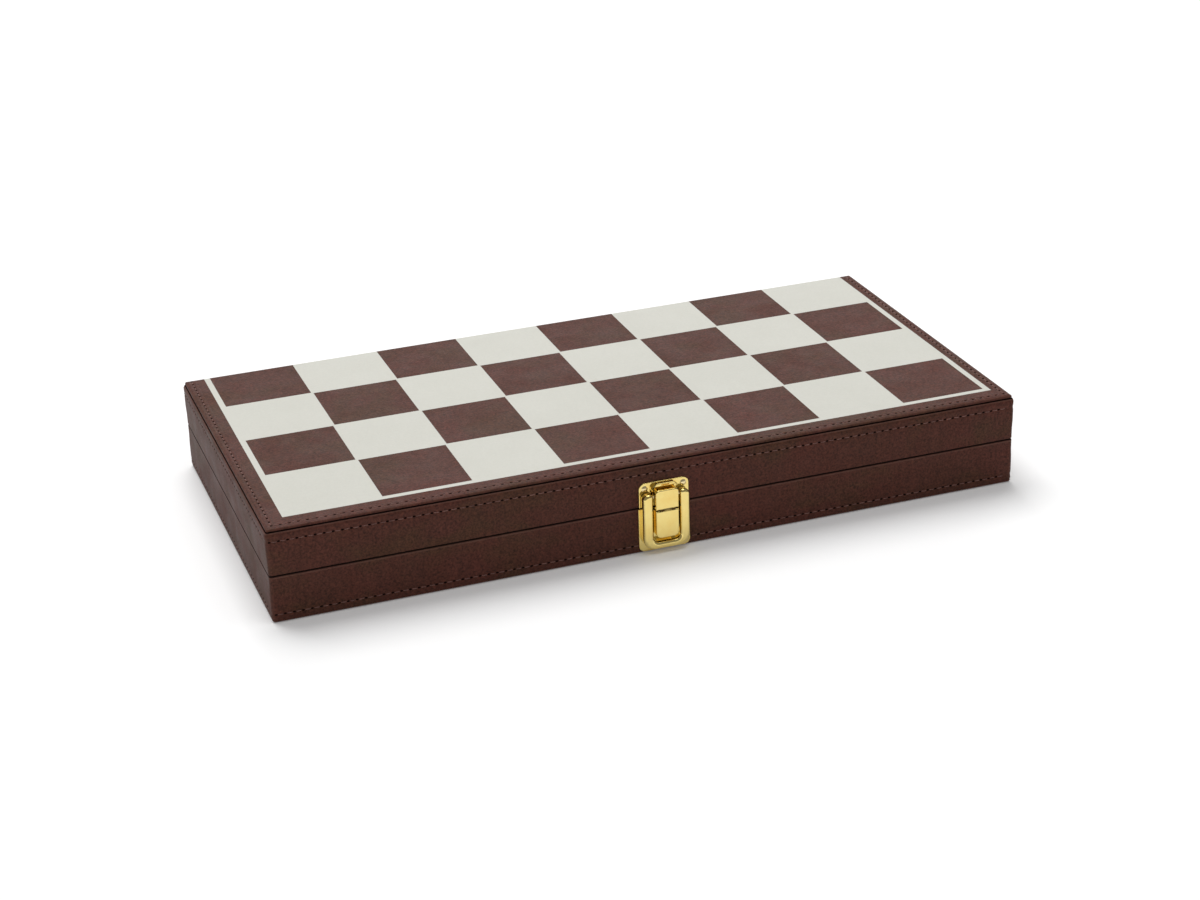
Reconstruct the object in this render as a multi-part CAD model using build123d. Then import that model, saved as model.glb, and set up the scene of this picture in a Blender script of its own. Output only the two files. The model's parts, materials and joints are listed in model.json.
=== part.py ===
from build123d import *
import os

# A folding games case in leatherette: a backgammon board inside, a chess field outside.
# Millimetres. X runs along the case, -Y is the front with the latch, +Y the hinge side,
# z = 0 is the underside of the closed case. "depth" counts from the outer face of a half.

# --- case ---------------------------------------------------------------
case_length = 380.0
case_width = 190.0
half_height = 23.5            # each half, so the closed case is twice this
rim_gap = 0.2                 # daylight between the closed rims
skin = 0.8                    # leatherette
rail_thickness = 7.4
board_thickness = 1.0
lining_thickness = 1.8        # padded playing surface
corner_radius = 1.6           # upright corners
panel_roll = 0.7              # rolled outer edge of the lid's panel, inside its walls' skin
seam_roll = 0.5               # of the walls' edge round that panel, and of the base's panel
rim_roll = 0.7                # outer edge of the rims and of the base's foot
inner_rim_roll = 0.5
over = 1.0                    # how far a cutting solid runs past what it cuts
tolerance = 1e-4              # for picking edges by their place

# --- chess field --------------------------------------------------------
print_depth = 0.3
columns = 8
rows = 4                      # on each half
field_left_border = 10.8
field_right_border = 7.2
field_front_border = 11.0
line_width = 3.0              # pale line around the squares, none at the hinge side
square_inset = 0.5            # dark squares stop short of the squares' grid
back_row_cut = 2.0            # the hinge-side row runs off the edge by this much

# --- backgammon points --------------------------------------------------
points_per_end = 6
point_length = 150.0
point_base_gap = 2.2          # between neighbouring points at their base
point_wall_gap = 1.5
point_depth = 0.3
point_tip = 0.6               # width of a point's blunt tip

# --- hinges -------------------------------------------------------------
hinge_span = 220.0            # between the middles of the two hinges
hinge_length = 40.0
hinge_knuckles = 5
hinge_axis_out = 0.4          # axis behind the back face
knuckle_radius = 2.2
knuckle_clearance = 0.3
knuckle_end_gap = 0.2
hinge_pin_radius = 1.1
pin_clearance = 0.05          # radial, in the knuckles that turn
pin_head_radius = 1.6
pin_head_length = 0.6
leaf_thickness = 1.0
leaf_width = 8.1              # from the hinge axis
leaf_screw_spacing = 13.0
screw_radius = 0.8
screw_head_radius = 1.7
screw_length = 7.0
screw_slot_width = 0.4
screw_slot_depth = 0.35

# --- latch: "out" is the distance from the case's front face -------------
latch_x = 2.3                 # it sits a little right of the case's middle
plate_thickness = 0.8
plate_corner = 3.2
plate_roll = 0.3              # of both plates' front edges
parting_setback = 0.3         # of both plates from the parting plane
catch_plate_width = 25.4
catch_plate_height = 12.9
base_plate_width = 26.3
base_plate_drop = 23.0
frame_width = 23.9
frame_arm = 5.2
frame_bar = 3.9               # height of the U's lower bar
frame_top = 8.2
frame_bottom = 21.3
frame_out = 5.0
frame_clearance = 0.35        # arms over the catch plate
frame_outer_corner = 6.5
frame_inner_corner = 2.5
frame_roll = 1.7
arm_top_outer = 3.2           # corners at the arms' upper ends
arm_top_inner = 1.85
tab_side_clearance = 0.95     # lever and hook between the frame's arms
tab_out = 5.5
tab_wall = 1.0
tab_roll = 0.6
tab_back = 1.75               # how near the case the lever's walls come
lever_bottom = 15.2
lever_corner = 2.6
hook_top = 10.0
hook_corner = 1.8
lever_pin_up = 6.0
lever_pin_out = 3.0
lever_pin_radius = 0.7
lever_pin_grip = 2.5          # length held in each arm
cheek_radius = 1.25
cheek_inner = 4.2
cheek_thickness = 0.9
cheek_foot = 12.0
hook_pin_down = 0.6
hook_pin_out = 4.8
hook_pin_radius = 0.45
barrel_radius = 0.85
barrel_clearance = 0.15
lever_barrel_half = 2.4
hook_barrel_length = 1.3
split_half_gap = 0.35         # lever and hook either side of the hook pin
flange_thickness = 0.95
flange_back = 1.1
hook_wall_back = 2.7
hook_wall_foot = 7.6
ledge_clearance = 0.25
ledge_thickness = 1.0
ledge_out = 2.2
hump_half_width = 6.5         # raised guard on the catch plate, above the hook
hump_top_half_width = 4.4
hump_clearance = 0.75         # the hook rises past it as it opens
hump_height = 1.75
hump_out = 2.9
hump_roll = 0.45
hump_slot_half_width = 2.0
hump_slot_height = 0.6
hump_slot_depth = 1.2
catch_screw_side = 9.8
catch_screw_up = 10.0
base_screw_side = 3.0
base_screw_down = 10.0
latch_screw_radius = 0.7
latch_screw_length = 5.5
dome_radius = 1.6
dome_height = 0.6

# --- playing pieces -----------------------------------------------------
checker_clearance = 1.6       # from the width of a point
checker_thickness = 6.0
checker_roll = 1.0
checker_dish_radius = 8.5
checker_dish_depth = 0.5
checkers_per_stack = 3
stacks_per_colour = 5
stack_wall_gap = 1.0
stack_row_gap = 1.5
dice_gap = 1.0
die_roll = 1.6
doubling_cube_size = 20.0
doubling_cube_roll = 2.2
cup_headroom = 3.0
cup_length = 62.0
cup_wall = 1.6
cup_lining = 1.2
cup_floor = 2.4
cup_band_length = 7.0
cup_band_height = 0.8
cup_wall_gap = 1.0
cup_roll = 0.6

# --- worked out ---------------------------------------------------------
panel_thickness = skin + board_thickness
floor_depth = panel_thickness + lining_thickness
rim_depth = half_height - rim_gap / 2
wall_thickness = skin + rail_thickness + skin
inside_x = case_length / 2 - wall_thickness
inside_y = case_width / 2 - wall_thickness
hinge_y = case_width / 2 + hinge_axis_out
point_pitch = 2 * inside_y / points_per_end
tab_half = frame_width / 2 - frame_arm - tab_side_clearance
leaf_near = hinge_y - knuckle_radius - knuckle_clearance
checker_diameter = point_pitch - checker_clearance
die_size = (checker_diameter - dice_gap) / 2
cup_diameter = 2 * (half_height - floor_depth) - cup_headroom

# Latch pieces are drawn with x across, y up from the parting plane and z out of the case.
front = Plane(origin=(latch_x, -case_width / 2, half_height), x_dir=(1, 0, 0), z_dir=(0, -1, 0))


def block(x, y, z):
    """A box from three (low, high) pairs."""
    sizes = [high - low for low, high in (x, y, z)]
    middle = [(low + high) / 2 for low, high in (x, y, z)]
    return Pos(*middle) * Box(*sizes)


def cylinder_x(radius, low, high, y, z):
    """A round bar along X."""
    return Pos((low + high) / 2, y, z) * Rot(0, 90, 0) * Cylinder(radius, high - low)


def case_block(inset, low, high):
    """The case's outline, moved in by inset, from one depth to another."""
    x = case_length / 2 - inset
    y = case_width / 2 - inset
    body = block((-x, x), (-y, y), (low, high))
    radius = corner_radius - inset
    if radius > 0:
        body = fillet(body.edges().filter_by(Axis.Z), radius)
    return body


def edges_at(shape, depth):
    """The edges that lie flat at one depth."""
    return shape.edges().filter_by_position(Axis.Z, depth - tolerance, depth + tolerance)


def group(solids):
    """Separate solids kept together as one node."""
    return Compound(children=[solid.solid() for solid in solids])


# --- one half of the case, lying on its outer face ------------------------
def rails():
    ring = case_block(skin, panel_thickness, rim_depth - skin)
    ring -= case_block(skin + rail_thickness, 0, half_height)
    far_x, far_y = case_length, case_width
    joint_x = case_length / 2 - skin - rail_thickness
    joint_y = case_width / 2 - skin - rail_thickness
    tall = (0, half_height)
    return {
        "front_rail": ring & block((-far_x, far_x), (-far_y, -joint_y), tall),
        "back_rail": ring & block((-far_x, far_x), (joint_y, far_y), tall),
        "left_rail": ring & block((-far_x, -joint_x), (-joint_y, joint_y), tall),
        "right_rail": ring & block((joint_x, far_x), (-joint_y, joint_y), tall),
    }


def side_cover(foot):
    """Leatherette over the outside, rim and inside of the rails, from the foot's depth."""
    cover = case_block(0, foot, rim_depth)
    cover = fillet(edges_at(cover, rim_depth), rim_roll)
    cover = fillet(edges_at(cover, foot), rim_roll if foot == 0 else seam_roll)
    cover -= case_block(wall_thickness, -over, half_height + over)
    inner_edges = edges_at(cover, rim_depth).sort_by(SortBy.LENGTH)
    inner_edges = [e for e in inner_edges if abs(e.center().X) <= inside_x + tolerance
                   and abs(e.center().Y) <= inside_y + tolerance]
    cover = fillet(inner_edges, inner_rim_roll)
    core = case_block(skin, panel_thickness, rim_depth - skin)
    core -= case_block(skin + rail_thickness, 0, half_height)
    cover -= core
    return cover - case_block(skin, -over, panel_thickness)


def panel_outside(roll):
    """The outer form of a half's panel, leatherette and board together."""
    panel = case_block(skin, 0, panel_thickness)
    return fillet(edges_at(panel, 0), roll)


def field_grid():
    """The squares' grid: left edge, front edge, column width and row depth."""
    left = -case_length / 2 + field_left_border + line_width
    right = case_length / 2 - field_right_border - line_width
    near = -case_width / 2 + field_front_border + line_width
    column = (right - left) / columns
    row = (case_width / 2 + back_row_cut - near) / rows
    return left, near, column, row


def chess_field(panel, dark_parity):
    """The pale inlay: the whole field less its dark squares, as deep as the print."""
    left, near, column, row = field_grid()
    right = left + columns * column
    far = near + rows * row
    pale = panel & block((left - line_width, right + line_width),
                         (near - line_width, case_width), (0, print_depth))
    for i in range(columns):
        for j in range(rows):
            if (i + j) % 2 != dark_parity:
                continue
            x_low = left + i * column + (square_inset if i > 0 else 0)
            x_high = left + (i + 1) * column - (square_inset if i < columns - 1 else 0)
            y_high = far - j * row - (square_inset if j > 0 else 0)
            y_low = far - (j + 1) * row + (square_inset if j < rows - 1 else 0)
            pale -= block((x_low, x_high), (y_low, y_high), (-over, print_depth + over))
    return pale


def panel_parts(roll, dark_parity):
    panel = panel_outside(roll)
    board = case_block(2 * skin, skin, panel_thickness)
    field = chess_field(panel, dark_parity)
    return {"board": board, "board_cover": panel - board - field, "chess_field": field}


def point(end, slot):
    """One long triangle from a short end of the half; end is -1 or +1."""
    y = -inside_y + point_pitch * (slot + 0.5)
    half_base = (point_pitch - point_base_gap) / 2
    x_base = end * (inside_x - point_wall_gap)
    x_tip = x_base - end * point_length
    corners = [(x_base, y - half_base), (x_base, y + half_base),
               (x_tip, y + point_tip / 2), (x_tip, y - point_tip / 2)]
    face = make_face(Polyline(*corners, close=True))
    solid = extrude(face, point_depth, dir=(0, 0, 1))
    return Pos(0, 0, floor_depth - point_depth) * solid


def playing_surface():
    light, dark = [], []
    for end in (-1, 1):
        for slot in range(points_per_end):
            colour = light if (slot + (end > 0)) % 2 == 0 else dark
            colour.append(point(end, slot))
    sheet = case_block(wall_thickness, panel_thickness, floor_depth)
    for inlay in light + dark:
        sheet -= inlay
    return {"playfield": sheet, "points_light": group(light), "points_dark": group(dark)}


def half(name, foot, roll, dark_parity):
    parts = rails()
    parts["side_cover"] = side_cover(foot)
    parts.update(panel_parts(roll, dark_parity))
    parts.update(playing_surface())
    return {f"{name}_{key}": solid for key, solid in parts.items()}


def as_lid(solid):
    """Turns a piece of the lower half into its twin above the parting plane."""
    return mirror(solid, about=Plane.XY.offset(half_height))


# --- hinges ---------------------------------------------------------------
def knuckle(x, index):
    """The x range of one knuckle."""
    pitch = hinge_length / hinge_knuckles
    low = x - hinge_length / 2 + index * pitch
    return low + knuckle_end_gap / 2, low + pitch - knuckle_end_gap / 2


def leaf_screw_places(x):
    y = (case_width / 2 - skin - rail_thickness + leaf_near) / 2
    return [(x + step * leaf_screw_spacing, y) for step in (-1, 0, 1)]


def leaf_screw(x, y):
    """A countersunk screw standing in the lower rim, its head flush with the leaf."""
    top = rim_depth
    head = Pos(x, y, top - leaf_thickness / 2)
    head *= Cone(screw_radius, screw_head_radius, leaf_thickness)
    shank = Pos(x, y, top - leaf_thickness - screw_length / 2)
    shank *= Cylinder(screw_radius, screw_length)
    slot = block((x - screw_head_radius, x + screw_head_radius),
                 (y - screw_slot_width / 2, y + screw_slot_width / 2),
                 (top - screw_slot_depth, top + over))
    return head + shank, slot


def hinge_leaf(x, first, pin_hole):
    """The lower leaf, with every second knuckle from the first."""
    y_far = hinge_y - leaf_width
    z = (rim_depth - leaf_thickness, rim_depth)
    leaf = block((x - hinge_length / 2, x + hinge_length / 2), (y_far, leaf_near), z)
    for index in range(first, hinge_knuckles, 2):
        low, high = knuckle(x, index)
        leaf += block((low, high), (leaf_near, hinge_y), z)
        leaf += cylinder_x(knuckle_radius, low, high, hinge_y, half_height)
    leaf -= cylinder_x(pin_hole, x - hinge_length, x + hinge_length, hinge_y, half_height)
    for place in leaf_screw_places(x):
        leaf -= leaf_screw(*place)[0]
    return leaf


def hinge_pin(x):
    end = hinge_length / 2
    pin = cylinder_x(hinge_pin_radius, x - end, x + end, hinge_y, half_height)
    for low in (x - end - pin_head_length, x + end):
        high = low + pin_head_length
        pin += cylinder_x(pin_head_radius, low, high, hinge_y, half_height)
    return pin


def hinge_recess(x):
    """What a hinge takes out of the lower rim: its knuckles' groove and its leaf's rebate."""
    reach = hinge_length / 2 + pin_head_length + knuckle_clearance
    groove = cylinder_x(knuckle_radius + knuckle_clearance, x - reach, x + reach,
                        hinge_y, half_height)
    rebate = block((x - hinge_length / 2, x + hinge_length / 2),
                   (hinge_y - leaf_width, hinge_y),
                   (rim_depth - leaf_thickness, half_height + over))
    recess = groove + rebate
    for place in leaf_screw_places(x):
        recess += leaf_screw(*place)[0]
    return recess


# --- latch, drawn in the front plane ---------------------------------------
def corners_at(shape, end):
    """The edges running out of the case at the top (-1) or bottom (0) of a plate."""
    return shape.edges().filter_by(Axis.Z).group_by(Axis.Y)[end]


def front_edges(shape, out):
    return shape.edges().filter_by_position(Axis.Z, out - tolerance, out + tolerance)


def latch_screw(x, y):
    shank = Pos(x, y, plate_thickness - latch_screw_length / 2)
    shank *= Cylinder(latch_screw_radius, latch_screw_length)
    sphere_radius = (dome_radius ** 2 + dome_height ** 2) / (2 * dome_height)
    dome = Pos(x, y, plate_thickness + dome_height - sphere_radius) * Sphere(sphere_radius)
    cap = 2 * dome_radius + over
    dome &= Pos(x, y, plate_thickness + dome_height / 2) * Box(cap, cap, dome_height)
    return shank + dome


def catch_screw_places():
    return [(-catch_screw_side, catch_screw_up), (catch_screw_side, catch_screw_up)]


def base_screw_places():
    return [(-base_screw_side, -base_screw_down), (base_screw_side, -base_screw_down)]


def catch_hump():
    """A raised guard with sloping ends and a short slot in its brow."""
    low = hook_top + hump_clearance
    high = low + hump_height
    corners = [(-hump_half_width, low), (hump_half_width, low),
               (hump_top_half_width, high), (-hump_top_half_width, high)]
    hump = extrude(make_face(Polyline(*corners, close=True)), hump_out, dir=(0, 0, 1))
    hump = fillet(front_edges(hump, hump_out), hump_roll)
    middle = (low + high) / 2
    return hump - block((-hump_slot_half_width, hump_slot_half_width),
                        (middle - hump_slot_height / 2, middle + hump_slot_height / 2),
                        (hump_out - hump_slot_depth, hump_out + over))


def catch_plate():
    half_width = catch_plate_width / 2
    plate = block((-half_width, half_width), (parting_setback, catch_plate_height),
                  (0, plate_thickness))
    plate = fillet(corners_at(plate, -1), plate_corner)
    plate = fillet(front_edges(plate, plate_thickness), plate_roll)
    top = hook_top - flange_thickness - ledge_clearance
    ledge = block((-tab_half, tab_half), (top - ledge_thickness, top), (0, ledge_out))
    plate += ledge + catch_hump()
    for place in catch_screw_places():
        plate -= latch_screw(*place)
    return plate


def latch_base_plate():
    half_width = base_plate_width / 2
    plate = block((-half_width, half_width), (-base_plate_drop, -parting_setback),
                  (0, plate_thickness))
    plate = fillet(corners_at(plate, 0), plate_corner)
    plate = fillet(front_edges(plate, plate_thickness), plate_roll)
    for place in base_screw_places():
        plate -= latch_screw(*place)
    return plate


def beside_slot(edge):
    return abs(edge.center().X) < frame_width / 2 - frame_arm + tolerance


def latch_frame():
    """The raised U that holds the lever, its arms standing up over the catch plate."""
    half_width = frame_width / 2
    slot_half = half_width - frame_arm
    under_arms = plate_thickness + frame_clearance
    z = (under_arms, frame_out)
    body = block((-half_width, half_width), (-frame_bottom, frame_top), z)
    body = fillet(corners_at(body, 0), frame_outer_corner)
    slot = block((-slot_half, slot_half), (-frame_bottom + frame_bar, frame_top + over),
                 (0, frame_out + over))
    slot = fillet(corners_at(slot, 0), frame_inner_corner)
    body -= slot
    tops = corners_at(body, -1).sort_by(Axis.X)
    body = fillet([tops[0], tops[-1]], arm_top_outer)
    body = fillet(corners_at(body, -1).filter_by(beside_slot), arm_top_inner)
    foot = body & block((-half_width, half_width), (-frame_bottom, -parting_setback), z)
    foot = extrude(foot.faces().sort_by(Axis.Z)[0], frame_clearance)
    body = fillet(front_edges(body, frame_out), frame_roll)
    body += foot
    return body - lever_pin()


def lever_pin():
    reach = frame_width / 2 - frame_arm + lever_pin_grip
    return cylinder_x(lever_pin_radius, -reach, reach, lever_pin_up, lever_pin_out)


def hook_pin():
    reach = lever_barrel_half + barrel_clearance + hook_barrel_length
    return cylinder_x(hook_pin_radius, -reach, reach, -hook_pin_down, hook_pin_out)


def barrel(radius, low, high):
    return cylinder_x(radius, low, high, -hook_pin_down, hook_pin_out)


def hook_barrels(radius, extra):
    near = lever_barrel_half + barrel_clearance
    far = near + hook_barrel_length
    return [barrel(radius, side * near - extra, side * far + extra) if side > 0
            else barrel(radius, side * far - extra, side * near + extra)
            for side in (-1, 1)]


def lever():
    """A cap with three walls, two cheeks running up to the frame's pin, and one barrel."""
    top = -hook_pin_down - split_half_gap
    inner = tab_half - tab_wall
    cap = block((-tab_half, tab_half), (-lever_bottom, top), (tab_back, tab_out))
    cap = fillet(corners_at(cap, 0), lever_corner)
    cap = fillet(front_edges(cap, tab_out), tab_roll)
    cap -= block((-inner, inner), (-lever_bottom + tab_wall, 0), (0, tab_out - tab_wall))
    cheek_top = lever_pin_out + cheek_radius
    for side in (-1, 1):
        x = sorted((side * cheek_inner, side * (cheek_inner + cheek_thickness)))
        cheek = block(x, (-cheek_foot, lever_pin_up), (tab_back, cheek_top))
        cheek += cylinder_x(cheek_radius, x[0], x[1], lever_pin_up, lever_pin_out)
        cheek += block(x, (-cheek_foot, top), (tab_back, tab_out - tab_wall))
        cap += cheek
    for clearing in hook_barrels(barrel_radius + barrel_clearance, barrel_clearance):
        cap -= clearing
    cap += barrel(barrel_radius, -lever_barrel_half, lever_barrel_half)
    cap -= cylinder_x(lever_pin_radius + pin_clearance, -tab_half, tab_half,
                      lever_pin_up, lever_pin_out)
    return cap - hook_pin()


def draw_hook():
    """A plate with two barrels below and, above, side walls and a flange over the ledge."""
    bottom = -hook_pin_down + split_half_gap
    inner = tab_half - tab_wall
    flange_under = hook_top - flange_thickness
    hook = block((-tab_half, tab_half), (bottom, hook_top), (flange_back, tab_out))
    hook = fillet(corners_at(hook, -1), hook_corner)
    hook = fillet(front_edges(hook, tab_out), tab_roll)
    wide = (-tab_half - over, tab_half + over)
    low = bottom - over
    hook -= block((-inner, inner), (low, flange_under), (0, tab_out - tab_wall))
    hook -= block(wide, (low, flange_under), (0, hook_wall_back))
    hook -= block(wide, (low, hook_wall_foot), (0, tab_out - tab_wall))
    own = lever_barrel_half + barrel_clearance
    hook -= barrel(barrel_radius + barrel_clearance, -own, own)
    for piece in hook_barrels(barrel_radius, 0):
        hook += piece
    hole = hook_pin_radius + pin_clearance
    return hook - barrel(hole, -tab_half, tab_half)


# --- playing pieces ---------------------------------------------------------
def slot_centre(column, slot):
    x = -inside_x + stack_wall_gap + checker_diameter / 2
    x += column * (checker_diameter + stack_row_gap)
    return x, -inside_y + point_pitch * (slot + 0.5)


def checker():
    disc = Cylinder(checker_diameter / 2, checker_thickness)
    disc = fillet(disc.edges().filter_by(GeomType.CIRCLE), checker_roll)
    for side in (-1, 1):
        disc -= Pos(0, 0, side * checker_thickness / 2) * Cylinder(checker_dish_radius,
                                                                   2 * checker_dish_depth)
    return disc


def checker_stack(column, slot):
    x, y = slot_centre(column, slot)
    discs = []
    for level in range(checkers_per_stack):
        z = floor_depth + checker_thickness * (level + 0.5)
        discs.append(Pos(x, y, z) * checker())
    return group(discs)


def cube(size, roll, x, y):
    body = Box(size, size, size)
    return Pos(x, y, floor_depth + size / 2) * fillet(body.edges(), roll)


def cup_place(side):
    """The middle of the cup's mouth; the cup lies along X with its mouth towards -X."""
    return inside_x - cup_wall_gap - cup_length, side * inside_y / 2, floor_depth + cup_diameter / 2


def dice_cup(side):
    x, y, z = cup_place(side)
    body_radius = cup_diameter / 2 - cup_band_height
    shell = cylinder_x(body_radius, x, x + cup_length, y, z)
    for low in (x, x + cup_length - cup_band_length):
        band = cylinder_x(cup_diameter / 2, low, low + cup_band_length, y, z)
        shell += fillet(band.edges().filter_by(GeomType.CIRCLE), cup_roll)
    bore = body_radius - cup_wall
    return shell - cylinder_x(bore, x - over, x + cup_length - cup_floor, y, z)


def cup_felt(side):
    x, y, z = cup_place(side)
    outer = cup_diameter / 2 - cup_band_height - cup_wall
    end = x + cup_length - cup_floor
    felt = cylinder_x(outer, x + cup_lining, end, y, z)
    return felt - cylinder_x(outer - cup_lining, x, end - cup_lining, y, z)


def playing_pieces():
    parts = {}
    for number in range(stacks_per_colour):
        parts[f"checkers_light_{number + 1}"] = checker_stack(0, number)
        parts[f"checkers_dark_{number + 1}"] = checker_stack(1, number)
    x, y = slot_centre(0, points_per_end - 1)
    step = (die_size + dice_gap) / 2
    for number, side in enumerate((-1, 1), start=1):
        parts[f"die_light_{number}"] = cube(die_size, die_roll, x - step, y + side * step)
        parts[f"die_dark_{number}"] = cube(die_size, die_roll, x + step, y + side * step)
    x, y = slot_centre(1, points_per_end - 1)
    parts["doubling_cube"] = cube(doubling_cube_size, doubling_cube_roll, x, y)
    for number, side in enumerate((-1, 1), start=1):
        parts[f"dice_cup_{number}"] = dice_cup(side)
        parts[f"cup_felt_{number}"] = cup_felt(side)
    return parts


# --- assembly ---------------------------------------------------------------
def cut(parts, prefix, names, tool):
    for name in names:
        parts[f"{prefix}_{name}"] -= tool


def build():
    lower = half("base", 0, seam_roll, 1)
    upper = half("lid", panel_thickness, panel_roll, 0)

    hinged = ("back_rail", "side_cover")
    hinge_parts = {}
    base_screws, lid_screws = [], []
    for side, x in (("left", -hinge_span / 2), ("right", hinge_span / 2)):
        recess = hinge_recess(x)
        cut(lower, "base", hinged, recess)
        cut(upper, "lid", hinged, recess)
        turning = hinge_pin_radius + pin_clearance
        hinge_parts[f"hinge_{side}_base_leaf"] = hinge_leaf(x, 0, hinge_pin_radius)
        hinge_parts[f"hinge_{side}_lid_leaf"] = as_lid(hinge_leaf(x, 1, turning))
        hinge_parts[f"hinge_{side}_pin"] = hinge_pin(x)
        for place in leaf_screw_places(x):
            body, slot = leaf_screw(*place)
            base_screws.append(body - slot)
            lid_screws.append(as_lid(body - slot))
    hinge_parts["hinge_base_screws"] = group(base_screws)
    hinge_parts["hinge_lid_screws"] = group(lid_screws)

    upper = {name: as_lid(solid) for name, solid in upper.items()}

    catch_screws = [front * latch_screw(*place) for place in catch_screw_places()]
    base_plate_screws = [front * latch_screw(*place) for place in base_screw_places()]
    latched = ("front_rail", "side_cover")
    for screw in catch_screws:
        cut(upper, "lid", latched, screw)
    for screw in base_plate_screws:
        cut(lower, "base", latched, screw)
    latch_parts = {
        "catch_plate": front * catch_plate(),
        "catch_plate_screws": group(catch_screws),
        "latch_base_plate": front * latch_base_plate(),
        "latch_base_screws": group(base_plate_screws),
        "latch_frame": front * latch_frame(),
        "lever_pin": front * lever_pin(),
        "latch_lever": front * lever(),
        "hook_pin": front * hook_pin(),
        "draw_hook": front * draw_hook(),
    }
    return {**lower, **upper, **hinge_parts, **latch_parts, **playing_pieces()}


os.makedirs("parts", exist_ok=True)
for node, shape in build().items():
    export_step(shape, f"parts/{node}.step")
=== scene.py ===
import bpy
import json
import math
import random
from mathutils import Matrix, Vector, noise


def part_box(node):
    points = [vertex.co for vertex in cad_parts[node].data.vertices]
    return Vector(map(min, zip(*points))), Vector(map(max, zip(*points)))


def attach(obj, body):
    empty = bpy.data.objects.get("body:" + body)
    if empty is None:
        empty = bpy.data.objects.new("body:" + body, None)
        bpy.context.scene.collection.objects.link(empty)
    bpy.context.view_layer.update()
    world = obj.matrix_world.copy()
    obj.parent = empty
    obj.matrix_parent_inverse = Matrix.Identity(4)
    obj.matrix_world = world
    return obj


# The looks of a folding games case: stitched leatherette, printed squares, a gold draw latch,
# and the pieces stored inside. Metres, in the frame's axes: X along the case, -Y towards the
# latch, +Z up. Colours are linear.

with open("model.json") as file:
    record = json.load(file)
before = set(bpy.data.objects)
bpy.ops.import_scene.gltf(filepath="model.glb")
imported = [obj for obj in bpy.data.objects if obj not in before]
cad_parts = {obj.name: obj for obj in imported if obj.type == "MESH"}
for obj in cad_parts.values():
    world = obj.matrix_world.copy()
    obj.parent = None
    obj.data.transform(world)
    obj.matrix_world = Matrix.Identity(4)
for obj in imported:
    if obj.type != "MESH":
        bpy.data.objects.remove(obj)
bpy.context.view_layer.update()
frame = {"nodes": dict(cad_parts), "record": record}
nodes = frame["nodes"]
mm = 0.001

# --- sizes read from the frame ---------------------------------------------
base_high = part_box("base_side_cover")[1]
half_x, half_y = base_high.x, base_high.y
panel_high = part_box("lid_board_cover")[1]
top_z = panel_high.z
seam_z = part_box("lid_side_cover")[1].z    # the top of the lid's walls, round its panel
ledge = half_x - panel_high.x             # how far the panel stands in from the walls
parting_z = top_z / 2
plate_low, plate_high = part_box("latch_base_plate")
pin_low, pin_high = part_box("hook_pin")
latch_x, hook_pin_z = (pin_low.x + pin_high.x) / 2, (pin_low.z + pin_high.z) / 2
lever_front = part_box("latch_lever")[0].y

# --- stitches ----------------------------------------------------------------
stitch_pitch = 4.25 * mm
stitch_length = 3.1 * mm
thread_radius = 0.25 * mm
thread_lift = 0.02 * mm        # the seam's line over the pulled-down leatherette
hole_radius = 0.56 * mm
hole_lift = 0.06 * mm          # the middle of a hole's painted-shade disc over the seam's line
hole_rim_lift = 0.07 * mm
foot_stitch_z = 4.0 * mm
lid_stitch_z = top_z - 6.1 * mm
hem_stitch = 4.0 * mm          # from the case's edge
hem_back = 2.5 * mm            # the hem's last hole, from the hinge side
underside_z = 0.3 * mm         # the seam under the case, sunk so that the table clears it

# --- padding -----------------------------------------------------------------
corner_radius = 1.6 * mm
crown = 0.24 * mm              # the padding's height over the board
dip = 0.22 * mm                # how far the thread pulls it down
valley_width = 0.75 * mm       # of the pulled-down line
pull_width, pull_depth = 1.7 * mm, 0.05 * mm     # the puckers beside each stitch
waver_height = 0.025 * mm      # slow unevenness of the padding
waver_along, waver_across = 9 * mm, 2.5 * mm
sunk = 0.05 * mm               # wraps end this far under the surface
wrap_step = 0.55 * mm          # the wraps' mesh, along the seams
wall_foot = 0.8 * mm           # the base's wrap starts this far over the table
parting_gap = 3.0 * mm         # the wraps stop this far from the parting
wall_roll = 0.5 * mm           # of the lid walls' upper edge
foot_taper, slow_taper, roll_taper = 1.0 * mm, 9 * mm, 0.55 * mm
hem_outer, hem_inner = 1.3 * mm, 6.6 * mm        # the hem's border, from the case's edge
hem_outer_taper, hem_inner_taper, hem_back_taper = 0.9 * mm, 1.2 * mm, 1.5 * mm
hem_back_end = 1.6 * mm        # the hem's end, from the hinge side
seam_shade_height = 0.65 * mm     # of the painted shade line at the foot of the lid's panel
seam_shade_reach = 0.36 * mm      # and how far it spreads over the ledge
seam_shade_proud = 0.02 * mm


# --- meshes -------------------------------------------------------------------
def new_object(name, data):
    holder = bpy.data.objects.new(name, data)
    bpy.context.scene.collection.objects.link(holder)
    return holder


def new_mesh(name, points, faces, smooth=True):
    mesh = bpy.data.meshes.new(name)
    mesh.from_pydata([tuple(p) for p in points], [], faces)
    mesh.validate()
    mesh.polygons.foreach_set("use_smooth", [smooth] * len(mesh.polygons))
    mesh.update()
    return new_object(name, mesh)


def add_piece(name, points, faces, material, body):
    piece = new_mesh(name, points, faces)
    piece.data.materials.append(material)
    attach(piece, body)
    return piece


def grid_faces(rows, columns, closed, flip=False, start=0):
    """Quads over a grid stored row by row; closed joins the last row to the first."""
    faces = []
    for i in range(rows if closed else rows - 1):
        near = start + i * columns
        far = start + (i + 1) % rows * columns
        for j in range(columns - 1):
            quad = (near + j, near + j + 1, far + j + 1, far + j)
            faces.append(quad[::-1] if flip else quad)
    return faces


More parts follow.
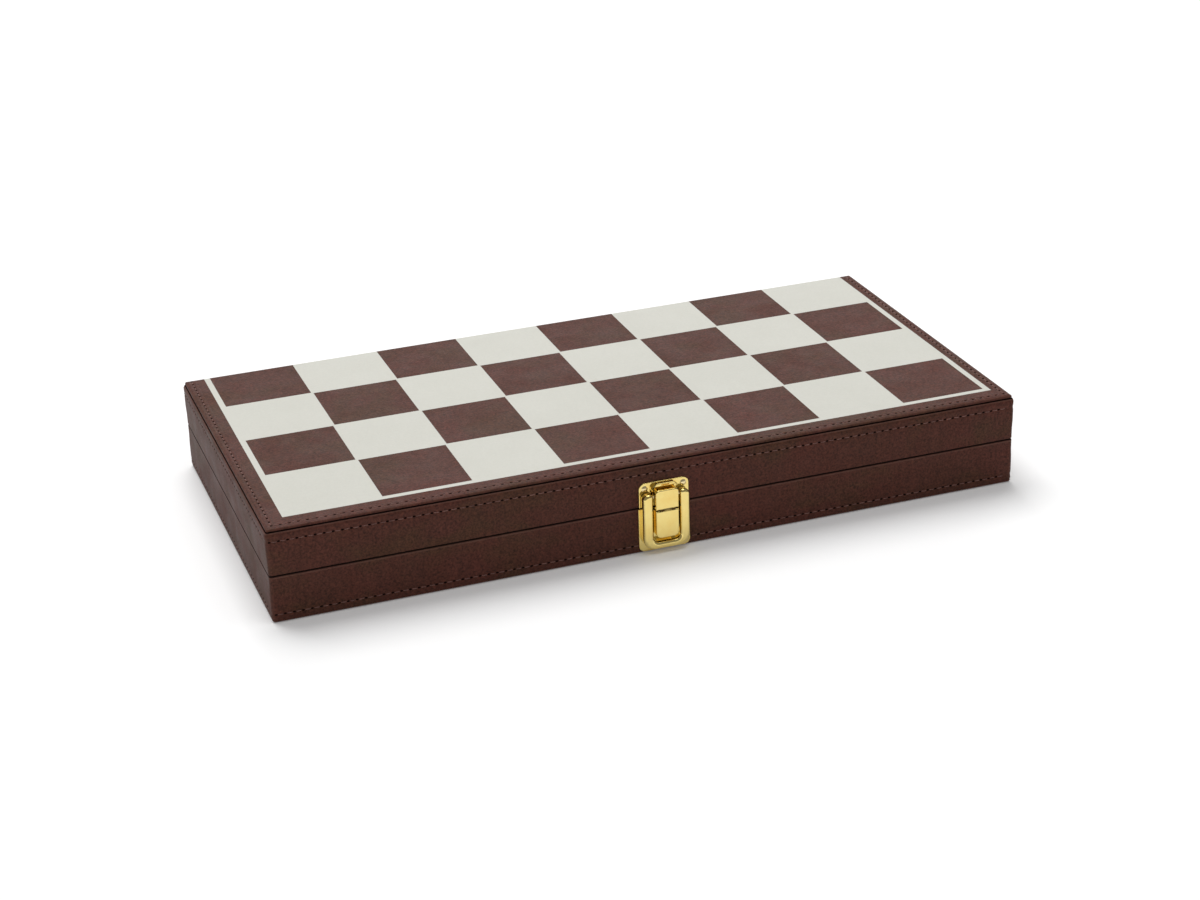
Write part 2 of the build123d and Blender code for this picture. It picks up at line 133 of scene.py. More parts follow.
def ring_faces(rings, around, start):
    """Quads between rings of points, each ring closed on itself."""
    faces = []
    for i in range(rings - 1):
        for k in range(around):
            near = start + i * around + k
            beside = start + i * around + (k + 1) % around
            faces.append((near, beside, beside + around, near + around))
    return faces


def smoothstep(value):
    value = min(max(value, 0.0), 1.0)
    return value * value * (3 - 2 * value)


def whole_pitch(length):
    """The spacing that fits a whole number of stitches into a length."""
    return length / round(length / stitch_pitch)


def pucker(along, across, pitch):
    """How high leatherette stands beside a stitch line, from the place along and across it."""
    phase = math.cos(2 * math.pi * along / pitch)
    valley = math.exp(-(across / valley_width) ** 2)
    pull = math.exp(-(across / pull_width) ** 2) * pull_depth * phase
    noise_slice = 3.7
    wander = noise.noise(Vector((along / waver_along, across / waver_across, noise_slice)))
    return -dip * valley * (0.8 + 0.2 * phase) - pull + waver_height * wander


def padded_height(along, across, to_low, to_high, low_taper, high_taper, pitch=stitch_pitch):
    """Padding on the CAD surface: a crown, tapered to both edges, pulled down at the stitches."""
    shoulder = smoothstep(to_low / low_taper) * smoothstep(to_high / high_taper)
    return -sunk + (crown + sunk + pucker(along, across, pitch)) * shoulder


# --- paths round the case -------------------------------------------------------
def outline(step):
    """Stations round the case, (place, outward normal, distance from the start), and its length."""
    flat_x, flat_y = half_x - corner_radius, half_y - corner_radius
    sides = [((-flat_x, -half_y), (1, 0), 2 * flat_x), ((half_x, -flat_y), (0, 1), 2 * flat_y),
             ((flat_x, half_y), (-1, 0), 2 * flat_x), ((-half_x, flat_y), (0, -1), 2 * flat_y)]
    corners = [(flat_x, -flat_y), (flat_x, flat_y), (-flat_x, flat_y), (-flat_x, -flat_y)]
    arc, turns = corner_radius * math.pi / 2, 5
    stations, travelled = [], 0.0
    for side, (start, heading, length) in enumerate(sides):
        normal = Vector((heading[1], -heading[0], 0))
        count = round(length / step)
        for i in range(count):
            reach = length * i / count
            place = Vector((start[0] + heading[0] * reach, start[1] + heading[1] * reach, 0))
            stations.append((place, normal.copy(), travelled + reach))
        travelled += length
        for i in range(turns):
            angle = math.pi / 2 * i / turns
            turned = Matrix.Rotation(angle, 3, "Z") @ normal
            centre = Vector((*corners[side], 0))
            stations.append((centre + corner_radius * turned, turned, travelled + arc * i / turns))
        travelled += arc
    return stations, travelled


def spread(low, high, dense_at, fine, coarse):
    """Values from low to high, fine steps apart near dense_at and coarse ones far from it."""
    values, value, reach = [low], low, 4 * mm
    while value < high:
        far = min(abs(value - dense_at) / reach, 1.0)
        value += fine + (coarse - fine) * far
        values.append(min(value, high))
    return values


def wall_wrap(name, body, low, high, stitch_z, low_taper, high_taper):
    """Padded leatherette round a half's outside, pulled down along its stitch line."""
    stations = outline(wrap_step)[0]
    levels = spread(low, high, stitch_z, fine=0.32 * mm, coarse=1.7 * mm)
    points = []
    for place, normal, along in stations:
        for z in levels:
            height = padded_height(along, z - stitch_z, z - low, high - z, low_taper, high_taper)
            points.append(place + normal * height + Vector((0, 0, z)))
    faces = grid_faces(len(stations), len(levels), True)
    add_piece(name, points, faces, brown_leatherette, body)


def seam_shade_sheet(name, body, low, high):
    """A near-black sheet of painted shade at the foot of the lid's panel, where it meets the ledge
    round it.
    """
    points, wall, foot = [], ledge - seam_shade_proud, low + seam_shade_proud
    profile = [(ledge - seam_shade_reach, foot), (wall, foot), (wall, high)]
    stations = outline(step=2 * mm)[0]
    for place, normal, _ in stations:
        points += [place - normal * inset + Vector((0, 0, z)) for inset, z in profile]
    faces = grid_faces(len(stations), len(profile), True)
    add_piece(name, points, faces, painted_shade_black, body)


def hem_point(side, distance, share, surface_z):
    """A point of the hem, from its distance to the case's edge and its share of the side."""
    seam_x, seam_y = half_x - hem_stitch, half_y - hem_stitch
    back_end = half_y - hem_back_end
    if side == "front":
        x, y = (-half_x + distance) + share * 2 * (half_x - distance), -half_y + distance
        along, pitch = x + seam_x, whole_pitch(2 * seam_x)
    else:
        x = (half_x - distance) * (1 if side == "right" else -1)
        y = (-half_y + distance) + share * (back_end + half_y - distance)
        along, pitch = y + seam_y, whole_pitch(half_y - hem_back + seam_y)
    height = padded_height(along, distance - hem_stitch, distance - hem_outer,
                           hem_inner - distance, hem_outer_taper, hem_inner_taper, pitch)
    height = -sunk + (height + sunk) * smoothstep((back_end - y) / hem_back_taper)
    return Vector((x, y, surface_z + height))


def hem(name, body, surface_z):
    """A U-shaped padded border on the lid's panel, open at the hinge side."""
    distances = spread(hem_outer, hem_inner, hem_stitch, fine=0.28 * mm, coarse=0.8 * mm)
    points, faces = [], []
    for side, reach in (("left", half_y), ("front", half_x), ("right", half_y)):
        start, count = len(points), round(2 * reach / wrap_step)
        for i in range(count + 1):
            points += [hem_point(side, d, i / count, surface_z) for d in distances]
        faces += grid_faces(count + 1, len(distances), False, side == "left", start)
    add_piece(name, points, faces, brown_leatherette, body)


# --- stitches ---------------------------------------------------------------------
chance = random.Random(11)


def stitch(points, faces, centre, heading, normal):
    """One thread between two holes: a bar that bends down into the surface at both ends."""
    side = normal.cross(heading).normalized()
    heading = (heading + side * chance.uniform(-0.07, 0.07)).normalized()
    side = normal.cross(heading).normalized()
    centre = centre + side * chance.uniform(-0.06, 0.06) * mm
    length = stitch_length * chance.uniform(0.93, 1.05)
    lift = thread_radius * chance.uniform(0.25, 0.6)
    plunge, thinning = 1.9 * thread_radius, 0.45
    rings, around = 8, 7
    start = len(points)
    for i in range(rings):
        t = i / (rings - 1) * 2 - 1
        place = centre + heading * (t * length / 2) + normal * (lift - plunge * t ** 4)
        thick = thread_radius * (1 - thinning * abs(t) ** 5)
        for k in range(around):
            angle = 2 * math.pi * k / around
            points.append(place + thick * (side * math.cos(angle) + normal * math.sin(angle)))
    faces += ring_faces(rings, around, start)
    faces.append(tuple(start + k for k in range(around))[::-1])
    faces.append(tuple(start + (rings - 1) * around + k for k in range(around)))


def hole(points, faces, centre, heading, normal):
    """A needle hole's mouth as painted shade: a low dark disc, longer along the seam."""
    side = normal.cross(heading).normalized()
    start, around = len(points), 8
    long_share, wide_share = 1.25, 0.85
    points.append(centre + normal * hole_lift)
    for k in range(around):
        angle = 2 * math.pi * k / around
        rim = heading * (long_share * math.cos(angle)) + side * (wide_share * math.sin(angle))
        points.append(centre + rim * hole_radius + normal * hole_rim_lift)
    for k in range(around):
        faces.append((start, start + 1 + k, start + 1 + (k + 1) % around))


def sew(name, body, places):
    """Thread and holes along a seam, from (hole, next hole, normal) triples."""
    threads, thread_faces, holes, hole_faces = [], [], [], []
    for first, second, normal in places:
        heading = (second - first).normalized()
        stitch(threads, thread_faces, (first + second) / 2, heading, normal)
        hole(holes, hole_faces, first, heading, normal)
    add_piece(f"{name}_thread", threads, thread_faces, brown_thread, body)
    # The holes are dark discs of painted shade.
    add_piece(f"{name}_holes", holes, hole_faces, painted_shade_black, body)


def wall_places(z, keep=lambda place: True):
    """Stitches round the outside, one pitch apart, but none across a corner."""
    stations, total = outline(step=0.05 * mm)
    count, sharp_turn = round(total / stitch_pitch), 0.3
    marks = []
    for place, normal, along in stations:
        if along >= len(marks) * stitch_pitch:
            marks.append((place + normal * thread_lift + Vector((0, 0, z)), normal))
    marks = marks[:count]
    places = []
    for i, (place, normal) in enumerate(marks):
        following, next_normal = marks[(i + 1) % len(marks)]
        if keep(place) and (normal - next_normal).length < sharp_turn:
            places.append((place, following, (normal + next_normal).normalized()))
    return places


def hem_places(surface_z, up):
    """Stitches along three sides of a half's outer face, up or down."""
    normal = Vector((0, 0, up))
    z = surface_z + up * thread_lift
    x, y = half_x - hem_stitch, half_y - hem_stitch
    back = half_y - hem_back
    corners = [Vector((-x, back, z)), Vector((-x, -y, z)), Vector((x, -y, z)), Vector((x, back, z))]
    places = []
    for a, b in zip(corners, corners[1:]):
        count = round((b - a).length / stitch_pitch)
        for i in range(count):
            places.append((a.lerp(b, i / count), a.lerp(b, (i + 1) / count), normal))
    return places


# --- material graphs -----------------------------------------------------------------
class Graph:
    """One material's nodes, with links made by passing a socket as an input."""

    def __init__(self, name):
        self.material = bpy.data.materials.new(name)
        self.material.use_nodes = True
        self.tree = self.material.node_tree
        self.shader = self.tree.nodes["Principled BSDF"]
        self.place = self.add("ShaderNodeTexCoord").outputs["Object"]

    def set(self, node, inputs):
        for key, value in inputs.items():
            socket = node.inputs[key]
            if isinstance(value, bpy.types.NodeSocket):
                self.tree.links.new(value, socket)
            else:
                socket.default_value = value

    def add(self, kind, inputs=None, **settings):
        node = self.tree.nodes.new(kind)
        for key, value in settings.items():
            setattr(node, key, value)
        self.set(node, inputs or {})
        return node

    def noise(self, scale, detail=3.0, roughness=0.55, place=None, distortion=0.0):
        node = self.add("ShaderNodeTexNoise", {"Vector": place or self.place, "Scale": scale,
                                               "Detail": detail, "Roughness": roughness,
                                               "Distortion": distortion})
        return node.outputs["Fac"]

    def drawn_noise(self, scales, detail, roughness):
        """Noise with its own scale along each axis."""
        stretched = self.stretch(scales)
        return self.noise(1.0, detail, roughness, stretched)

    def pebbles(self, size):
        node = self.add("ShaderNodeTexVoronoi", {"Vector": self.place, "Scale": 1 / size,
                                                 "Randomness": 1.0}, feature="SMOOTH_F1")
        return node.outputs["Distance"]

    def stretch(self, scales):
        return self.add("ShaderNodeMapping", {"Vector": self.place, "Scale": scales}).outputs[0]

    def math(self, operation, a, b=0.0, c=0.0):
        return self.add("ShaderNodeMath", {0: a, 1: b, 2: c}, operation=operation).outputs[0]

    def multiply(self, a, b):
        return self.math("MULTIPLY", a, b)

    def higher(self, a, b):
        return self.math("MAXIMUM", a, b)

    def distance(self, value, target):
        """How far a value is from a target, either way."""
        return self.math("ABSOLUTE", self.math("SUBTRACT", value, target))

    def axes(self):
        """The place's three coordinates."""
        return self.add("ShaderNodeSeparateXYZ", {"Vector": self.place}).outputs

    def fit(self, value, low, high, to_low=0.0, to_high=1.0):
        """A value's stretch from low to high, moved to another range and clamped there."""
        node = self.add("ShaderNodeMapRange", {"Value": value, "From Min": low, "From Max": high,
                                               "To Min": to_low, "To Max": to_high})
        return node.outputs["Result"]

    def mix(self, share, a, b, blend="MIX"):
        node = self.add("ShaderNodeMix", data_type="RGBA", blend_type=blend)
        self.set(node, {0: share, 6: a, 7: b})
        return node.outputs[2]

    def bump(self, height, relief):
        inputs = {"Height": height, "Distance": relief, "Strength": 1.0}
        return self.add("ShaderNodeBump", inputs).outputs["Normal"]

    def finish(self, colour, roughness, normal=None, **fixed):
        inputs = {"Base Color": colour, "Roughness": roughness}
        if normal is not None:
            inputs["Normal"] = normal
        inputs.update({key.replace("_", " "): value for key, value in fixed.items()})
        self.set(self.shader, inputs)
        return self.material


def rgb(red, green, blue):
    return (red, green, blue, 1.0)


def near_edge(graph, coordinate, edge):
    """1 where a coordinate's size reaches an edge, falling to 0 short of it."""
    edge_band_width = 0.9 * mm
    return graph.fit(graph.math("ABSOLUTE", coordinate), edge - edge_band_width, edge)


def edge_wear_and_painted_light(graph):
    """Where the leatherette rubs on the case's outer edges, with painted highlight lines under the
    parting and round the lid's seam, and painted shade in the crease at the parting.
    """
    place_x, place_y, place_z = graph.axes()
    x = near_edge(graph, place_x, half_x - ledge)
    y = near_edge(graph, place_y, half_y - ledge)
    level = graph.math("SUBTRACT", place_z, parting_z)
    z = near_edge(graph, level, parting_z)
    # Painted highlight: a lighter line just under the parting, on the base's rim.
    base_lip = graph.distance(level, -0.95 * mm)
    z = graph.higher(z, graph.fit(base_lip, 0.1 * mm, 0.55 * mm, 1.0, 0.0))
    # Painted highlight: a lighter line round the top of the lid's walls, at its seam.
    shoulder = graph.distance(level, seam_z - parting_z)
    z = graph.higher(z, graph.fit(shoulder, 0.3 * mm, 0.7 * mm, 0.9, 0.0))
    outside = graph.higher(x, y)
    upright = graph.multiply(graph.multiply(x, y), 0.25)
    wear_and_highlight = graph.higher(upright, graph.multiply(outside, z))
    patchy = graph.fit(graph.noise(130, detail=4), 0.3, 0.65, 0.45, 1.0)
    # Painted shade: darker in the crease at the parting, on the outer walls only.
    gap_shade = graph.fit(graph.math("ABSOLUTE", level), 0.3 * mm, 0.65 * mm, 1.0, 0.0)
    return graph.multiply(wear_and_highlight, patchy), graph.multiply(outside, gap_shade)


def leather_shade(graph, pebbles, streaks, speckles):
    """A grey that darkens and lightens leatherette: specks and drawn streaks, and painted shade in
    the grain's creases.
    """
    speckle = graph.noise(800, roughness=0.7)
    speckle = graph.fit(speckle, 0.32, 0.68, 1 - speckles, 1 + speckles)
    drawn = graph.drawn_noise((420, 420, 60), detail=3, roughness=0.6)
    drawn = graph.fit(drawn, 0.3, 0.7, 1 - streaks, 1 + streaks)
    crease_shade = graph.fit(pebbles, 0.35, 0.75, 1 + 0.3 * speckles, 1 - 0.9 * speckles)
    shade = graph.multiply(graph.multiply(speckle, drawn), crease_shade)
    return graph.add("ShaderNodeCombineColor", {0: shade, 1: shade, 2: shade}).outputs[0]


def leather(name, deep, warm, wear_and_highlight=None, olive=None, grain=0.75 * mm, relief=0.15 * mm,
            roughness=0.55, streaks=0.12, speckles=0.36):
    """Coated leatherette: pebbled grain, soft mottling, and, if an edge colour is given, rubbed
    edges, painted highlight lines and painted shade at the parting.
    """
    graph = Graph(name)
    blotch = graph.fit(graph.noise(28, detail=4, roughness=0.6), 0.32, 0.68)
    colour = graph.mix(blotch, deep, warm)
    if olive:
        cast = graph.noise(34, detail=4, place=graph.stretch((1.0, 1.0, 1.6)), distortion=0.5)
        colour = graph.mix(graph.fit(cast, 0.48, 0.64, 0.0, 0.65), colour, olive)
    pebbles = graph.pebbles(grain)
    shade = leather_shade(graph, pebbles, streaks, speckles)
    colour = graph.mix(1.0, colour, shade, "MULTIPLY")
    if wear_and_highlight:
        rubbed_and_lit, gap_shade = edge_wear_and_painted_light(graph)
        # Lighter where the edges rub, with painted highlight lines under the parting and round the
        # lid's seam.
        colour = graph.mix(graph.multiply(rubbed_and_lit, 0.6), colour, wear_and_highlight)
        # Painted shade: near-black in the crease at the parting, on the outer walls.
        colour = graph.mix(graph.multiply(gap_shade, 0.85), colour, rgb(0.008, 0.003, 0.002))
    wrinkle = graph.noise(210, detail=5, roughness=0.6, distortion=0.6)
    height = graph.math("MULTIPLY_ADD", pebbles, -0.65, graph.multiply(wrinkle, 0.5))
    height = graph.math("MULTIPLY_ADD", graph.noise(700), 0.5, height)
    height = graph.math("MULTIPLY_ADD", graph.noise(2600, detail=2), 0.16, height)
    normal = graph.bump(height, relief)
    gloss = graph.noise(75, detail=4)
    gloss = graph.fit(gloss, 0.3, 0.7, roughness - 0.07, roughness + 0.07)
    return graph.finish(colour, gloss, normal, Specular_IOR_Level=0.13)


def thread_material(name, colour, shadow):
    """Thread: fine fibres, and colour that varies stitch by stitch."""
    graph = Graph(name)
    plies = graph.drawn_noise((2600, 2600, 2600), detail=2, roughness=0.5)
    patch = graph.fit(graph.noise(180), 0.3, 0.7)
    tone = graph.mix(patch, shadow, colour)
    tone = graph.mix(graph.fit(plies, 0.35, 0.6, 0.5, 0.0), tone, shadow)
    normal = graph.bump(plies, 0.06 * mm)
    return graph.finish(tone, 0.62, normal, Specular_IOR_Level=0.3, Sheen_Weight=0.15)


def painted_shade_material(name):
    # Near-black painted shade, for the needle holes and the foot of the lid's panel.
    graph = Graph(name)
    tone = graph.mix(graph.noise(900), rgb(0.004, 0.002, 0.002), rgb(0.012, 0.005, 0.004))
    return graph.finish(tone, 1.0, Specular_IOR_Level=0.0)


def latch_gap_shade_mask(graph):
    """Painted shade: 1 in the gap between the latch's lever and hook, round the knuckles of their
    pin, where the gold is darkened.
    """
    place_x, place_y, place_z = graph.axes()
    side = graph.distance(place_x, latch_x)
    level = graph.distance(place_z, hook_pin_z)
    gap_shade = graph.fit(level, 0.28 * mm, 0.48 * mm, 1.0, 0.0)
    gap_shade = graph.multiply(gap_shade, graph.fit(side, 5.9 * mm, 6.1 * mm, 1.0, 0.0))
    skin_back, skin_end = lever_front + 2.0 * mm, lever_front + 2.2 * mm
    gap_shade = graph.multiply(gap_shade, graph.fit(place_y, skin_back, skin_end, 1.0, 0.0))
    return graph.multiply(gap_shade, graph.fit(side, 0.6 * mm, 2.0 * mm, 0.7, 1.0))


def plated(name, bright, deep, roughness, scratch=0.03, painted_gap_shade=False):
    """Plated metal: a faint drawn grain, a little haze, and tarnish in patches."""
    graph = Graph(name)
    patch = graph.fit(graph.noise(120, detail=4, roughness=0.6), 0.4, 0.72)
    colour = graph.mix(patch, bright, deep)
    if painted_gap_shade:
        # Painted shade: darkened in the gap between the lever and hook.
        colour = graph.mix(latch_gap_shade_mask(graph), colour, rgb(0.05, 0.018, 0.004))
    brushed = graph.drawn_noise((300, 300, 9000), detail=3, roughness=0.6)
    haze = graph.noise(520, detail=4)
    haze = graph.fit(haze, 0.35, 0.7, roughness - 0.04, roughness + 0.07)
    dents = graph.noise(240, detail=2, roughness=0.4)
    height = graph.math("MULTIPLY_ADD", brushed, scratch, dents)
    normal = graph.bump(height, 0.05 * mm)
    return graph.finish(colour, haze, normal, Metallic=1.0)


def moulded(name, body_colour, vein_colour, veins=0.5, roughness=0.16):
    """Polished moulded plastic with a slow marbling and a few fine scuffs."""
    graph = Graph(name)
    swirl = graph.noise(48, detail=5, roughness=0.62, distortion=2.2)
    vein = graph.fit(graph.distance(swirl, 0.5), 0.0, 0.09, veins, 0.0)
    cloud = graph.fit(graph.noise(22), 0.3, 0.7, 0.0, 0.35)
    colour = graph.mix(cloud, body_colour, vein_colour)
    colour = graph.mix(vein, colour, vein_colour)
    scuffs = graph.drawn_noise((900, 2600, 1500), detail=4, roughness=0.7)
    gloss = graph.fit(scuffs, 0.45, 0.75, roughness, roughness + 0.16)
    normal = graph.bump(graph.noise(160), 0.015 * mm)
    return graph.finish(colour, gloss, normal, Coat_Weight=0.35, Coat_Roughness=0.08,
                        Subsurface_Weight=0.05, Subsurface_Scale=1.0 * mm)


def felt(name, pile, shadow):
    """Pressed felt: matted fibres, with the pile's soft edge light."""
    graph = Graph(name)
    fibres = graph.noise(1500, detail=4, roughness=0.7, distortion=1.4)
    colour = graph.mix(graph.fit(fibres, 0.35, 0.65), shadow, pile)
    patch = graph.fit(graph.noise(90), 0.3, 0.7, 0.0, 0.35)
    colour = graph.mix(patch, colour, shadow)
    normal = graph.bump(fibres, 0.25 * mm)
    return graph.finish(colour, 0.95, normal, Sheen_Weight=0.6, Sheen_Roughness=0.45,
                        Specular_IOR_Level=0.15)


def sawn_board(name):
    graph = Graph(name)
    fibres = graph.drawn_noise((500, 500, 2400), detail=5, roughness=0.7)
    colour = graph.mix(graph.fit(fibres, 0.3, 0.7), rgb(0.22, 0.12, 0.06), rgb(0.46, 0.32, 0.19))
    normal = graph.bump(fibres, 0.12 * mm)
    return graph.finish(colour, 0.85, normal, Specular_IOR_Level=0.2)


# --- the materials ---------------------------------------------------------------------
brown_leatherette = leather("brown_leatherette", rgb(0.074, 0.025, 0.0155),
                            rgb(0.088, 0.026, 0.0175), wear_and_highlight=rgb(0.155, 0.075, 0.056),
                            olive=rgb(0.068, 0.030, 0.0145))
cream_print = leather("cream_print", rgb(0.585, 0.58, 0.523), rgb(0.60, 0.594, 0.537),
                      relief=0.03 * mm, roughness=0.45, streaks=0.006, speckles=0.02)
playfield = leather("playfield_leatherette", rgb(0.075, 0.027, 0.017), rgb(0.09, 0.031, 0.02),
                    grain=0.9 * mm, relief=0.10 * mm, roughness=0.6)
point_cream = leather("point_cream", rgb(0.58, 0.53, 0.42), rgb(0.63, 0.58, 0.47),
                      relief=0.05 * mm, roughness=0.48, streaks=0.015, speckles=0.05)
point_tan = leather("point_tan", rgb(0.27, 0.10, 0.04), rgb(0.33, 0.125, 0.052),
                    relief=0.06 * mm, roughness=0.48, streaks=0.04, speckles=0.12)
cup_leather = leather("cup_leatherette", rgb(0.06, 0.026, 0.018), rgb(0.078, 0.03, 0.02),
                      grain=0.9 * mm, relief=0.09 * mm)
brown_thread = thread_material("brown_thread", rgb(0.25, 0.12, 0.095), rgb(0.12, 0.05, 0.04))
painted_shade_black = painted_shade_material("painted_shade_black")
latch_gold = plated("latch_gold", rgb(0.84, 0.67, 0.25), rgb(0.81, 0.59, 0.19),
                    roughness=0.10, painted_gap_shade=True)
hinge_brass = plated("hinge_brass", rgb(0.80, 0.58, 0.23), rgb(0.66, 0.43, 0.14),
                     roughness=0.26, scratch=0.06)
screw_brass = plated("screw_brass", rgb(0.93, 0.77, 0.44), rgb(0.80, 0.60, 0.27), roughness=0.22)
checker_cream = moulded("checker_cream", rgb(0.74, 0.67, 0.51), rgb(0.83, 0.79, 0.68))
checker_brown = moulded("checker_brown", rgb(0.050, 0.018, 0.011), rgb(0.16, 0.062, 0.034))
die_cream = moulded("die_cream", rgb(0.80, 0.75, 0.62), rgb(0.86, 0.83, 0.74), veins=0.25)
die_brown = moulded("die_brown", rgb(0.060, 0.020, 0.012), rgb(0.15, 0.055, 0.03), veins=0.25)
pip_cream = moulded("pip_cream", rgb(0.84, 0.80, 0.69), rgb(0.80, 0.76, 0.66),
                    veins=0.1, roughness=0.3)
pip_brown = moulded("pip_brown", rgb(0.035, 0.013, 0.010), rgb(0.05, 0.02, 0.015),
                    veins=0.1, roughness=0.3)
cup_felt = felt("cup_felt", rgb(0.34, 0.13, 0.07), rgb(0.17, 0.055, 0.03))
fibreboard = sawn_board("fibreboard")

SLOT_MATERIALS = {
    "brown_leatherette": brown_leatherette, "cream_print": cream_print,
    "playfield_leatherette": playfield, "point_cream": point_cream, "point_tan": point_tan,
    "hinge_brass": hinge_brass, "screw_brass": screw_brass, "latch_gold": latch_gold,
    "checker_cream": checker_cream, "checker_brown": checker_brown, "die_cream": die_cream,
    "die_brown": die_brown, "cup_leatherette": cup_leather, "cup_felt": cup_felt,
    "fibreboard": fibreboard,
}


def dress_cad_nodes():
    for part in frame["record"]["subparts"]:
        shell = nodes[part["node"]]
        material = SLOT_MATERIALS[part["material_slot"]]
        for slot in shell.material_slots:
            slot.material = material


# --- the case's leatherette -----------------------------------------------------------
def beside_latch(place):
    """False where the latch's base plate covers the seam."""
    clear = 0.2 * mm
    return place.y > 0 or not plate_low.x - clear < place.x < plate_high.x + clear


def dress_case():
    wall_wrap("base_wall_wrap", "base", wall_foot, parting_z - parting_gap, foot_stitch_z,
              foot_taper, slow_taper)
    wall_wrap("lid_wall_wrap", "lid", parting_z + parting_gap, seam_z - wall_roll, lid_stitch_z,
              slow_taper, roll_taper)
    seam_shade_sheet("lid_seam_shadow", "lid", seam_z, seam_z + seam_shade_height)
    hem("lid_hem", "lid", top_z)
    sew("base_wall", "base", wall_places(foot_stitch_z, beside_latch))
    sew("lid_wall", "lid", wall_places(lid_stitch_z))
    sew("lid_hem", "lid", hem_places(top_z, 1))
    sew("base_hem", "base", hem_places(underside_z, -1))


# --- dice and doubling cube -------------------------------------------------------------
PIPS = {
    1: [(0, 0)],
    2: [(-1, -1), (1, 1)],
    3: [(-1, -1), (0, 0), (1, 1)],
    4: [(-1, -1), (-1, 1), (1, -1), (1, 1)],
    5: [(-1, -1), (-1, 1), (1, -1), (1, 1), (0, 0)],
    6: [(-1, -1), (-1, 0), (-1, 1), (1, -1), (1, 0), (1, 1)],
}
FACES = [Vector((0, 0, 1)), Vector((1, 0, 0)), Vector((0, 1, 0)),
         Vector((0, -1, 0)), Vector((-1, 0, 0)), Vector((0, 0, -1))]
pip_sunk = 0.03 * mm
pip_height = 0.10 * mm
pip_spacing, pip_radius = 0.25, 0.085     # shares of a die's size


def face_axes(normal):
    """Two directions that lie in a cube's face."""
    across = Vector((1, 0, 0)) if abs(normal.x) < 0.5 else Vector((0, 1, 0))
    return across, normal.cross(across)


def dome(points, faces, centre, normal, radius, height):
    """A low dome on a flat face."""
    across, up = face_axes(normal)
    rings, around = 3, 14
    start = len(points)
    for i in range(rings + 1):
        share = 1 - i / rings
        for k in range(around):
            angle = 2 * math.pi * k / around
            flat = (across * math.cos(angle) + up * math.sin(angle)) * radius * share
            points.append(centre + flat + normal * height * (1 - share ** 2))
    faces += ring_faces(rings + 1, around, start)


def add_pips(node, order, material):
    """Pips on a die's six faces, in the order of FACES."""
    low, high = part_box(node)
    centre, size = (low + high) / 2, high.x - low.x
    points, faces = [], []
    for value, face in zip(order, FACES):
        across, up = face_axes(face)
        for a, b in PIPS[value]:
            flat = (across * a + up * b) * size * pip_spacing
            place = centre + face * (size / 2 - pip_sunk) + flat
            dome(points, faces, place, face, size * pip_radius, pip_height)
    add_piece(f"{node}_pips", points, faces, material, "base")


def add_numeral(name, text, centre, normal, height, material):
    """A raised figure on a face of the doubling cube."""
    font = bpy.data.curves.new(name, "FONT")
    font.body = text
    font.size = height
    font.align_x = "CENTER"
    font.align_y = "CENTER"
    font.extrude = 0.08 * mm
    font.bevel_depth = 0.03 * mm
    font.resolution_u = 4
    holder = new_object(name, font)
    across, up = face_axes(normal)
    turn = Matrix((across, up, normal)).transposed().to_4x4()
    graph = bpy.context.evaluated_depsgraph_get()
    mesh = bpy.data.meshes.new_from_object(holder.evaluated_get(graph))
    bpy.data.objects.remove(holder)
    mesh.transform(Matrix.Translation(centre) @ turn)
    mesh.materials.clear()
    mesh.materials.append(material)
    piece = new_object(name, mesh)
    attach(piece, "base")


def dress_dice():
    add_pips("die_light_1", (5, 3, 1, 6, 4, 2), pip_brown)
    add_pips("die_light_2", (2, 6, 3, 4, 1, 5), pip_brown)
    add_pips("die_dark_1", (6, 2, 4, 3, 5, 1), pip_cream)
    add_pips("die_dark_2", (3, 5, 6, 1, 2, 4), pip_cream)
    low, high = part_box("doubling_cube")
    centre, size = (low + high) / 2, high.x - low.x
    one_figure, two_figures = 0.72 * size, 0.62 * size
    for face, text in zip(FACES, ("64", "2", "4", "8", "16", "32")):
        height = two_figures if len(text) > 1 else one_figure
        place = centre + face * size / 2
        add_numeral(f"doubling_cube_{text}", text, place, face, height, pip_brown)


# --- dice cups ---------------------------------------------------------------------------
band_edge, band_width = 1.2 * mm, 5.8 * mm     # a cup's two rows of stitches, from its end
cup_pitch = 3.4 * mm


def ring_places(x, centre, radius):
    """Stitches round a cup that lies along X."""
    places, count = [], round(2 * math.pi * radius / cup_pitch)
    for k in range(count):
        angles = [2 * math.pi * step / count for step in (k, k + 1)]
        ends = [Vector((x, centre.y + radius * math.cos(a), centre.z + radius * math.sin(a)))
                for a in angles]
        middle = sum(angles) / 2
        normal = Vector((0, math.cos(middle), math.sin(middle)))
        places.append((ends[0], ends[1], normal))
    return places


def dress_cups():
    for number in (1, 2):
        low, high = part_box(f"dice_cup_{number}")
        centre, radius = (low + high) / 2, (high.y - low.y) / 2
        places = []
        for x in (low.x + band_edge, low.x + band_width, high.x - band_width, high.x - band_edge):
            places += ring_places(x, centre, radius)
        sew(f"cup_{number}_band", "base", places)


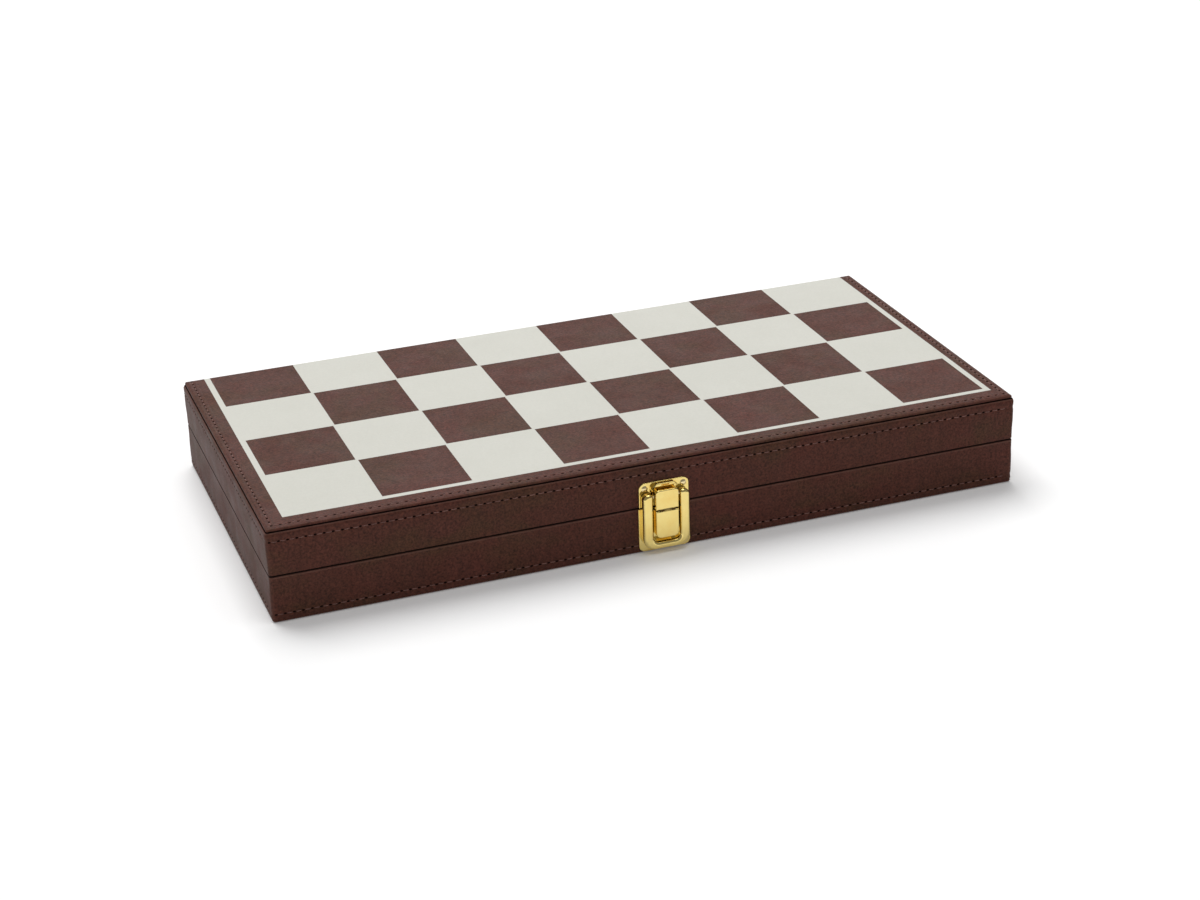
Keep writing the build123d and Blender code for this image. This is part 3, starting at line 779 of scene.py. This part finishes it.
# --- studio --------------------------------------------------------------------------------
def pale_paper(name, colour, glow):
    """Studio paper that is a little lit from behind, so the floor stays pale near the case."""
    graph = Graph(name)
    return graph.finish(colour, 0.9, Specular_IOR_Level=0.1, Emission_Color=colour,
                        Emission_Strength=glow)


def soft_light(name, place, width, height, radiance):
    """A soft box aimed at the origin; its brightness is a radiance, whatever its size."""
    light = bpy.data.lights.new(name, "AREA")
    light.shape = "RECTANGLE"
    light.size = width
    light.size_y = height
    light.energy = radiance * math.pi * width * height
    light.color = (1, 1, 1)
    holder = new_object(name, light)
    holder.location = place
    holder.rotation_euler = (-Vector(place)).to_track_quat("-Z", "Y").to_euler()


def build_floor():
    reach = 6.0
    level = -0.3 * mm     # clear of the case's underside
    corners = [(-reach, -reach, level), (reach, -reach, level),
               (reach, reach, level), (-reach, reach, level)]
    ground = new_mesh("floor", corners, [(0, 1, 2, 3)], smooth=False)
    ground.data.materials.append(pale_paper("floor_paper", rgb(0.93, 0.93, 0.93), glow=0.1))


def build_lights():
    world = bpy.data.worlds.new("studio")
    world.use_nodes = True
    sky = world.node_tree.nodes["Background"]
    sky.inputs["Color"].default_value = rgb(1, 1, 1)
    sky.inputs["Strength"].default_value = 0.25
    bpy.context.scene.world = world

    soft_light("key", (-0.4, 1.6, 3.4), width=2.5, height=2.5, radiance=5.7)
    soft_light("back_card", (1.1, 2.2, 1.15), width=2.6, height=1.2, radiance=1.5)
    soft_light("overhead", (0.2, -0.6, 2.0), width=1.4, height=0.7, radiance=2.5)


def build_camera():
    camera = bpy.data.cameras.new("camera")
    camera.sensor_width = 36.0
    camera.lens = 72.66
    camera.clip_start = 0.01
    camera.clip_end = 50.0
    holder = new_object("camera", camera)
    holder.location = (-0.3678, -1.0701, 0.5261)
    holder.rotation_euler = [math.radians(angle) for angle in (65.576, 1.764, -19.966)]
    bpy.context.scene.camera = holder


def set_colour():
    view = bpy.context.scene.view_settings
    view.view_transform = "Standard"
    view.look = "None"
    view.exposure = 0.0


dress_cad_nodes()
dress_case()
dress_dice()
dress_cups()
build_floor()
build_lights()
build_camera()
set_colour()
